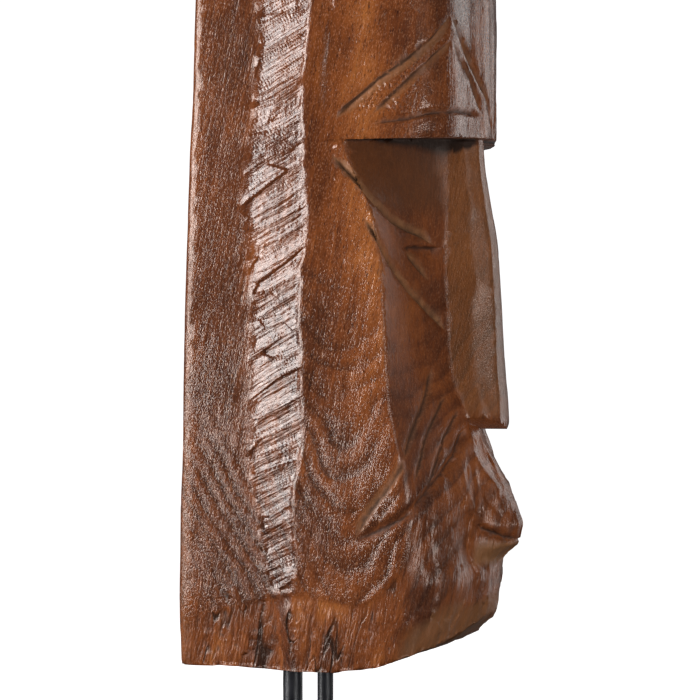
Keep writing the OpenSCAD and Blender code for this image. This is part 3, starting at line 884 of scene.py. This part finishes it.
for colour, share in (
        ((.035, .012, .006), late * .5 * (1 - sleek_w * .8)),   # dense late wood
        ((.018, .006, .004), dark_pore * (1 - sleek_w * .40)),  # dirt in the pores
        ((.40, .185, .095), painted_glint * .30),                  # painted glints
        ((.060, .024, .010), shade_w * .68),                    # the shaded eye
        ((.17, .080, .030), painted_light_w * .75),                     # painted light: paler lit walls and faces
        ((.006, .003, .002), shade_and_checks_w.rise(.3, .9) * .93),      # painted shade in the cuts and under the brow, dark open checks
        ((.012, .006, .004), check_w * .85)):                   # fine checks
    base = wood.mixed(base, (*colour, 1), share)
wood.set(Base_Color=base)
gloss = (.195 + (grit - .5) * .12 + (1 - shine_w) * .13 + painted_light_w * .34 + sleek_w * .08
         + shade_and_checks_w * .5 * (1 - shade_w))
wood.set(Roughness=gloss, Specular_IOR_Level=.44, Specular_Tint=(1, .84, .76, 1),
         Coat_Weight=struck_w * .34, Coat_Roughness=.12, Coat_IOR=1.5)
q = pz * math.cos(lean_a) + py * math.sin(lean_a)
p = py * -math.cos(lean_a) + pz * math.sin(lean_a)
along = wood.node("ShaderNodeCombineXYZ", None, {0: p * 60, 1: q * 900, 2: px * 60})
scratch = wood.noise(along, 1, 2, .6)
rough_side = (1 - sleek_w * .93) * (1 - struck_w * .8)
low_side = 1 - pz.rise(.20, .40)
glints = (specks - .5) * (.35 + patches.rise(.25, .75) * .65) * (.33 + low_side * .46)
height = (glints + (grit - .5) * .22) * rough_side + (pores - .5) * -.18 * rough_side
height = (height + (fibre - .5) * (.5 + grain_w * 1.6) + (scratch - .5) * struck_w * 2.0
          - check_w * 1.1)
wood.relief(height, .0006, .9)
head.data.materials.clear()
head.data.materials.append(wood.material)
print("nodes in the wood:", len(wood.tree.nodes))

# %% [markdown]
# ## Rods, washers and nuts
#
# The rods are round bar, turned down and threaded at the foot. A profile spun
# round its axis makes each of them. The thread is a real helix: the radius
# follows a saw-tooth of the height minus the turn, so it can be seen from below.

# %% A black rod with a threaded stud
def threaded_rod(name, node, stud_r, shoulder_z, pitch=1.25, wear=0.0, sides=64):
    """Rod from its box: the radius is the stud's below the shoulder, with a triangular
    thread in height minus turn times pitch, and the bar's above it."""
    low, high = box_mm(node)
    r_bar = (high[0] - low[0]) / 2
    centre = (low[:2] + high[:2]) / 2
    z = np.concatenate([[low[2], low[2] + .01], np.arange(low[2] + .15, shoulder_z - .4, .16),
                        [shoulder_z - .3, shoulder_z - .01, shoulder_z, shoulder_z + .4],
                        np.linspace(shoulder_z + 1, high[2] - 1.2, 70),
                        [high[2] - 1, high[2] - .5, high[2]]])
    a = -np.arange(sides) * 2 * np.pi / sides
    zz, aa = np.meshgrid(z, a, indexing="ij")
    saw = np.abs(((zz / pitch + aa / (2 * np.pi)) % 1) * 2 - 1)
    start = step(low[2], low[2] + 1.2, zz)
    stud = stud_r - .75 * saw * start - .8 * (1 - start)
    bar = r_bar - np.interp(zz, [shoulder_z, shoulder_z + .4, high[2] - 1, high[2]], [.4, 0, 0, 1])
    rr = np.where(zz < shoulder_z - .005, stud, bar)
    worn = wear * (1 + waver(around(centre, rr, aa, zz), (5, 5, 8), 15, 2))
    rr = rr - np.where(zz > shoulder_z + 1, worn, 0)
    pts = around(centre, rr, aa, zz)
    piece = closed_grid(name, pts, [*centre, low[2]], [*centre, high[2]])
    smoothed(piece.data, 50)
    return piece


shoulder = box_mm("shoulder_washer_right")[1][2]
metal = []
for node, wear in (("rod_right", .12), ("rod_left", .01)):
    piece = threaded_rod(f"{node}_bar", node, 4.0, shoulder, wear=wear)
    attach(piece, "stand")
    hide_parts(node)
    metal.append((piece, "rod_black"))
print("faces of the rods:", [len(piece.data.polygons) for piece, slot in metal])

# %% [markdown]
# ## Washers and nuts
#
# Washers are stamped from plate, so their edges are a little soft. Nuts are
# turned from six-sided bar, which leaves a round chamfer across the corners.
# Both could be cylinders with holes cut out, but one closed section carried
# round the axis needs no cutting and keeps the edges clean.

# %% Washers and nuts
def ring_profile(r_in, r_out, low, high, soft):
    """Closed cross-section of a washer: a rectangle whose corners are cut by `soft`."""
    return [(r_in, low + soft), (r_in + soft, low), (r_out - soft, low), (r_out, low + soft),
            (r_out, high - soft), (r_out - soft, high), (r_in + soft, high), (r_in, high - soft)]


def loop_ring(name, section, node, sides=64, shape=None):
    """A closed section of radius and height carried round the node's axis. `shape`
    changes the radius by the turn, which makes a round ring into a hexagon."""
    low, high = box_mm(node)
    r, z = np.array(section, float).T
    a = np.arange(sides) * 2 * np.pi / sides
    rr, aa = np.meshgrid(r, a, indexing="ij")
    if shape:
        rr = shape(rr, aa)
    pts = around((low[:2] + high[:2]) / 2, rr, aa, np.repeat(z[:, None], sides, 1))
    rows = len(section)
    i, j = np.meshgrid(np.arange(rows), np.arange(sides), indexing="ij")
    i2, j2 = (i + 1) % rows, (j + 1) % sides
    quads = np.stack([i * sides + j, i * sides + j2, i2 * sides + j2, i2 * sides + j], 2)
    mesh = bpy.data.meshes.new(name)
    mesh.from_pydata((pts.reshape(-1, 3) * MM).tolist(), [], quads.reshape(-1, 4).tolist())
    smoothed(mesh, 28)
    mesh.validate()
    return linked(name, mesh)


hole_r = 4.25   # clearance hole for an M8 stud
flat = 6.5      # half the width across the flats of an M8 nut


def hexagon(r, a):
    """Radius of a hexagon with that half-width, clipped by the turned chamfer."""
    corner = flat / np.cos((a % (np.pi / 3)) - np.pi / 6)
    return np.where(r > flat - .4, np.minimum(r, corner), r)


for hand in ("right", "left"):
    for kind, slot in (("shoulder_washer", "rod_black"), ("nut_washer", "zinc_steel")):
        node = f"{kind}_{hand}"
        low, high = box_mm(node)
        section = ring_profile(hole_r, (high[0] - low[0]) / 2, low[2], high[2], .25)
        piece = loop_ring(f"{node}_disc", section, node)
        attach(piece, "stand")
        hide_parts(node)
        metal.append((piece, slot))
    node = f"nut_{hand}"
    low, high = box_mm(node)
    section = [(4.05, low[2] + .7), (4.6, low[2]), (6.2, low[2]), (6.9, low[2] + .45),
               (7.6, low[2] + .95), (7.6, high[2] - .95), (6.9, high[2] - .45), (6.2, high[2]),
               (4.6, high[2]), (4.05, high[2] - .7)]
    piece = loop_ring(f"{node}_hex", section, node, 72, hexagon)
    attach(piece, "stand")
    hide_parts(node)
    metal.append((piece, "zinc_steel"))
print("metal pieces:", len(metal))

# %% [markdown]
# ## Paint and zinc
#
# The rods are steel bar under satin black paint that went on unevenly and has
# gathered dust, so it is not modelled as bare metal. Nuts and washers are zinc
# plated: a dull metal with faint crystals and hazy spots. One plain grey would
# look like plastic, so each finish varies its colour, gloss and relief a little.

# %% Finishes of the metal
black = Recipe("rod_black")
here = black.place()
dust = black.noise(here, 900, 2, .6)
patch = black.grain(here, (260, 260, 60), 3, .5)
paint = black.mixed((.006, .006, .008, 1), (.020, .020, .024, 1), patch.rise(.35, .8))
black.set(Base_Color=paint, Metallic=0.0, Specular_IOR_Level=.3,
          Roughness=.36 + (dust - .5) * .25 + (patch - .5) * .15)
black.relief((dust - .5) + (patch - .5) * 2.0, .0002, .6)
zinc = Recipe("zinc_steel")
here = zinc.place()
crystals = {"Vector": here, "Scale": 700.0}
spangle = zinc.node("ShaderNodeTexVoronoi", None, crystals, out="Distance")
haze = zinc.noise(here, 260, 3)
plating = zinc.mixed((.52, .53, .54, 1), (.34, .34, .33, 1), haze.rise(.4, .75))
zinc.set(Base_Color=plating, Metallic=1.0, Roughness=.26 + spangle * .25 + haze * .1)
zinc.relief(spangle, .0001, .4)
for piece, slot in metal:
    piece.data.materials.append((black if slot == "rod_black" else zinc).material)
print("metal finishes ready")

# %% [markdown]
# ## The plinth
#
# The plinth is a block of wood, planed, bevelled and stained black. Its outline
# is a rectangle with slightly rounded corners, carried along a profile that
# makes the bevel, so its edges are soft like sanded wood. Stepped holes from
# below hide the washers and nuts. The stain lies thin, so the long grain and
# the open pores still show through it in gloss and relief.

# %% The plinth
def rounded_outline(w, d, r, n=7):
    """Rectangle w by d with corners of radius r, n points to a corner, clockwise."""
    a = np.linspace(0, np.pi / 2, n)
    corners = []
    for k, (sx, sy) in enumerate(((1, 1), (1, -1), (-1, -1), (-1, 1))):
        turn = np.pi / 2 - a - k * np.pi / 2
        corners.append(np.stack([sx * (w / 2 - r) + r * np.cos(turn),
                                 sy * (d / 2 - r) + r * np.sin(turn)], 1))
    return np.concatenate(corners)


low, high = box_mm("plinth")
w, d = high[0] - low[0], high[1] - low[1]
# how far in from the outline and how high, in millimetres
profile = [(60, 0), (12, 0), (1.0, 0), (.3, .3), (0, 1.0), (0, 8), (0, 16), (0, 23.4), (.15, 24.0),
           (.5, 24.5), (3.6, 27.5), (4.1, 27.85), (4.8, 28), (12, 28), (60, 28)]
rings = [np.concatenate([rounded_outline(w - 2 * i, d - 2 * i, max(1.6 - min(i, 1.2) * .5, .8)),
                         np.full((28, 1), low[2] + z)], 1) for i, z in profile]
plinth = closed_grid("plinth_block", np.array(rings), [0, 0, low[2]], [0, 0, high[2]])
counterbore_r = 14
for node in ("nut_washer_right", "nut_washer_left"):
    under_washer, seat = box_mm(node)
    hole = [(0, low[2] - 2), (counterbore_r, low[2] - 2), (counterbore_r, seat[2]),
            (hole_r, seat[2]), (hole_r, high[2] + 2), (0, high[2] + 2)]
    drilled(plinth, turned("hole_tool", hole, 56, (under_washer[:2] + seat[:2]) / 2))
smoothed(plinth.data, 32)
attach(plinth, "stand")
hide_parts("plinth")
stain = Recipe("plinth_black")
here = stain.place()
long_grain = stain.grain(here, (300, 14, 300), 4, .6)
open_pore = stain.grain(here, (900, 60, 900), 2, .6).rise(.6, .75)
tint = stain.mixed((.010, .0085, .0075, 1), (.034, .025, .019, 1), long_grain.rise(.35, .8))
stain.set(Base_Color=tint, Roughness=.42 + (long_grain - .5) * .3, Specular_IOR_Level=.45)
stain.relief(long_grain * .6 - open_pore, .0003, .8)
plinth.data.materials.clear()
plinth.data.materials.append(stain.material)
print("plinth faces:", len(plinth.data.polygons))

# %% [markdown]
# ## Rubber feet
#
# Four moulded feet keep the plinth off the table and stop it from sliding. Each
# is a turned profile with a hollow middle and a rounded rim. Old rubber is matt
# and gets a pale bloom in patches, which a plain black would not show.

# %% The rubber feet
rubber = Recipe("foot_rubber")
here = rubber.place()
bloom = rubber.noise(here, 420, 3)
matt = rubber.mixed((.012, .012, .012, 1), (.032, .031, .030, 1), bloom.rise(.4, .8))
rubber.set(Base_Color=matt, Roughness=.72 + (bloom - .5) * .3)
rubber.relief(bloom, .0002, .5)
for node in ("foot_front_right", "foot_front_left", "foot_back_right", "foot_back_left"):
    low, high = box_mm(node)
    r, top_z = (high[0] - low[0]) / 2, high[2]
    section = [(0, .9), (3, .9), (3.6, .7), (4.2, .15), (4.8, 0), (r - 2.7, 0), (r - 2.1, .15),
               (r - 1.5, .8), (r - .15, top_z - .4), (r, top_z - .15), (r - .15, top_z), (0, top_z)]
    foot = turned(f"{node}_pad", section, 56, (low[:2] + high[:2]) / 2)
    smoothed(foot.data, 50)
    foot.data.materials.append(rubber.material)
    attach(foot, "stand")
    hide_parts(node)
print("four feet")

# %% [markdown]
# ## Studio
#
# The head stands in a white bowl: a pale floor that curves up into a round wall.
# The bowl glows evenly and is wide enough for a camera at any side to stand in
# it, so the ground behind the object is white from everywhere.

# %% Floor and wall in one sweep
floor_r, curve_r, wall_top, sides = 8.0, 2.0, 9.0, 96
turn = np.linspace(0, np.pi / 2, 16)
curve = np.stack([floor_r + curve_r * np.sin(turn), curve_r - curve_r * np.cos(turn)], 1)
run = np.concatenate([[(.5, 0), (floor_r, 0)], curve, [(floor_r + curve_r, wall_top)]])
rr, aa = np.meshgrid(run[:, 0], np.arange(sides) * 2 * np.pi / sides, indexing="ij")
bowl = around((0, 0), rr, aa, np.repeat(run[:, 1:], sides, 1))
idx = np.arange(rr.size).reshape(-1, sides)
nxt = np.roll(idx, -1, 1)
faces = np.stack([idx[:-1], nxt[:-1], nxt[1:], idx[1:]], 2).reshape(-1, 4)[:, ::-1].tolist()
mesh = bpy.data.meshes.new("studio_sweep")
mesh.from_pydata(bowl.reshape(-1, 3).tolist(), [], faces + [idx[0].tolist()])
smoothed(mesh)
floor = linked("studio_sweep", mesh)
paper = Recipe("studio_paper")
paper.set(Base_Color=(.86, .86, .86, 1), Roughness=.9, Emission_Color=(1, 1, 1, 1),
          Emission_Strength=1.0)
mesh.materials.append(paper.material)
floor.visible_glossy = floor.visible_diffuse = False

# %% [markdown]
# ## Lights
#
# One large soft light stands well round to the left, so that the slanted ear
# band, which faces that way, flares white while the flat sides stay deep. The
# others only fill: a weak one for the front, two low and wide ones from the
# camera's side, one near the lens that finds the glints, and one by the floor.
# A single lamp would leave the face black.

# %% Lights
def soft_light(name, place, target, size, power):
    """A rectangle of light, `size` metres wide and high, turned to face its target. The
    camera does not see it, so it never hides the object in a view."""
    light = bpy.data.lights.new(name, "AREA")
    light.shape, light.energy = "RECTANGLE", power
    light.size, light.size_y = size
    lamp = linked(name, light)
    lamp.location = place
    lamp.visible_camera = False
    lamp.rotation_euler = (Vector(target) - Vector(place)).to_track_quat("-Z", "Y").to_euler()
    return lamp


soft_light("left_softbox", (-.76, 1.17, .43), (0, 0, .32), (.60, .86), 35)
soft_light("front_softbox", (1.25, -.94, .5), (0, 0, .32), (.6, 1.2), 5.5)
soft_light("camera_fill", (-1.9, -1.2, 1.7), (0, 0, .3), (1.0, 1.0), 8)
low = soft_light("low_fill", (-1.25, -1.6, .4), (0, 0, .3), (1.6, 1.2), 12)
lens = soft_light("lens_light", (-2.1, -.5, .75), (0, 0, .3), (.5, .5), 7)
soft_light("floor_bounce", (-.8, -1.0, .14), (0, -.05, .14), (.6, .24), 7)
low.visible_glossy = lens.visible_glossy = False
world = bpy.data.worlds.new("tent")
world.use_nodes = True
sky = world.node_tree.nodes["Background"].inputs
sky["Color"].default_value, sky["Strength"].default_value = (1, 1, 1, 1), .10
bpy.context.scene.world = world
bpy.context.scene.view_settings.view_transform = "Standard"

# %% [markdown]
# ## Camera
#
# The camera looks level at the figure's right side, turned 15 degrees towards
# the face. It stands far off with a long lens, so the block's edges stay nearly
# parallel. From close by the nose would swell and the back would shrink.

# %% Camera
camera = bpy.data.cameras.new("camera")
camera.sensor_width, camera.lens = 36, 184.9
camera_far = 2.2
eye_point = linked("camera", camera)
target = Vector((0, .0042, .2878))
eye_point.location = target + Vector((-.966, -.259, 0)).normalized() * camera_far
eye_point.rotation_euler = (target - eye_point.location).to_track_quat("-Z", "Y").to_euler()
bpy.context.scene.camera = eye_point
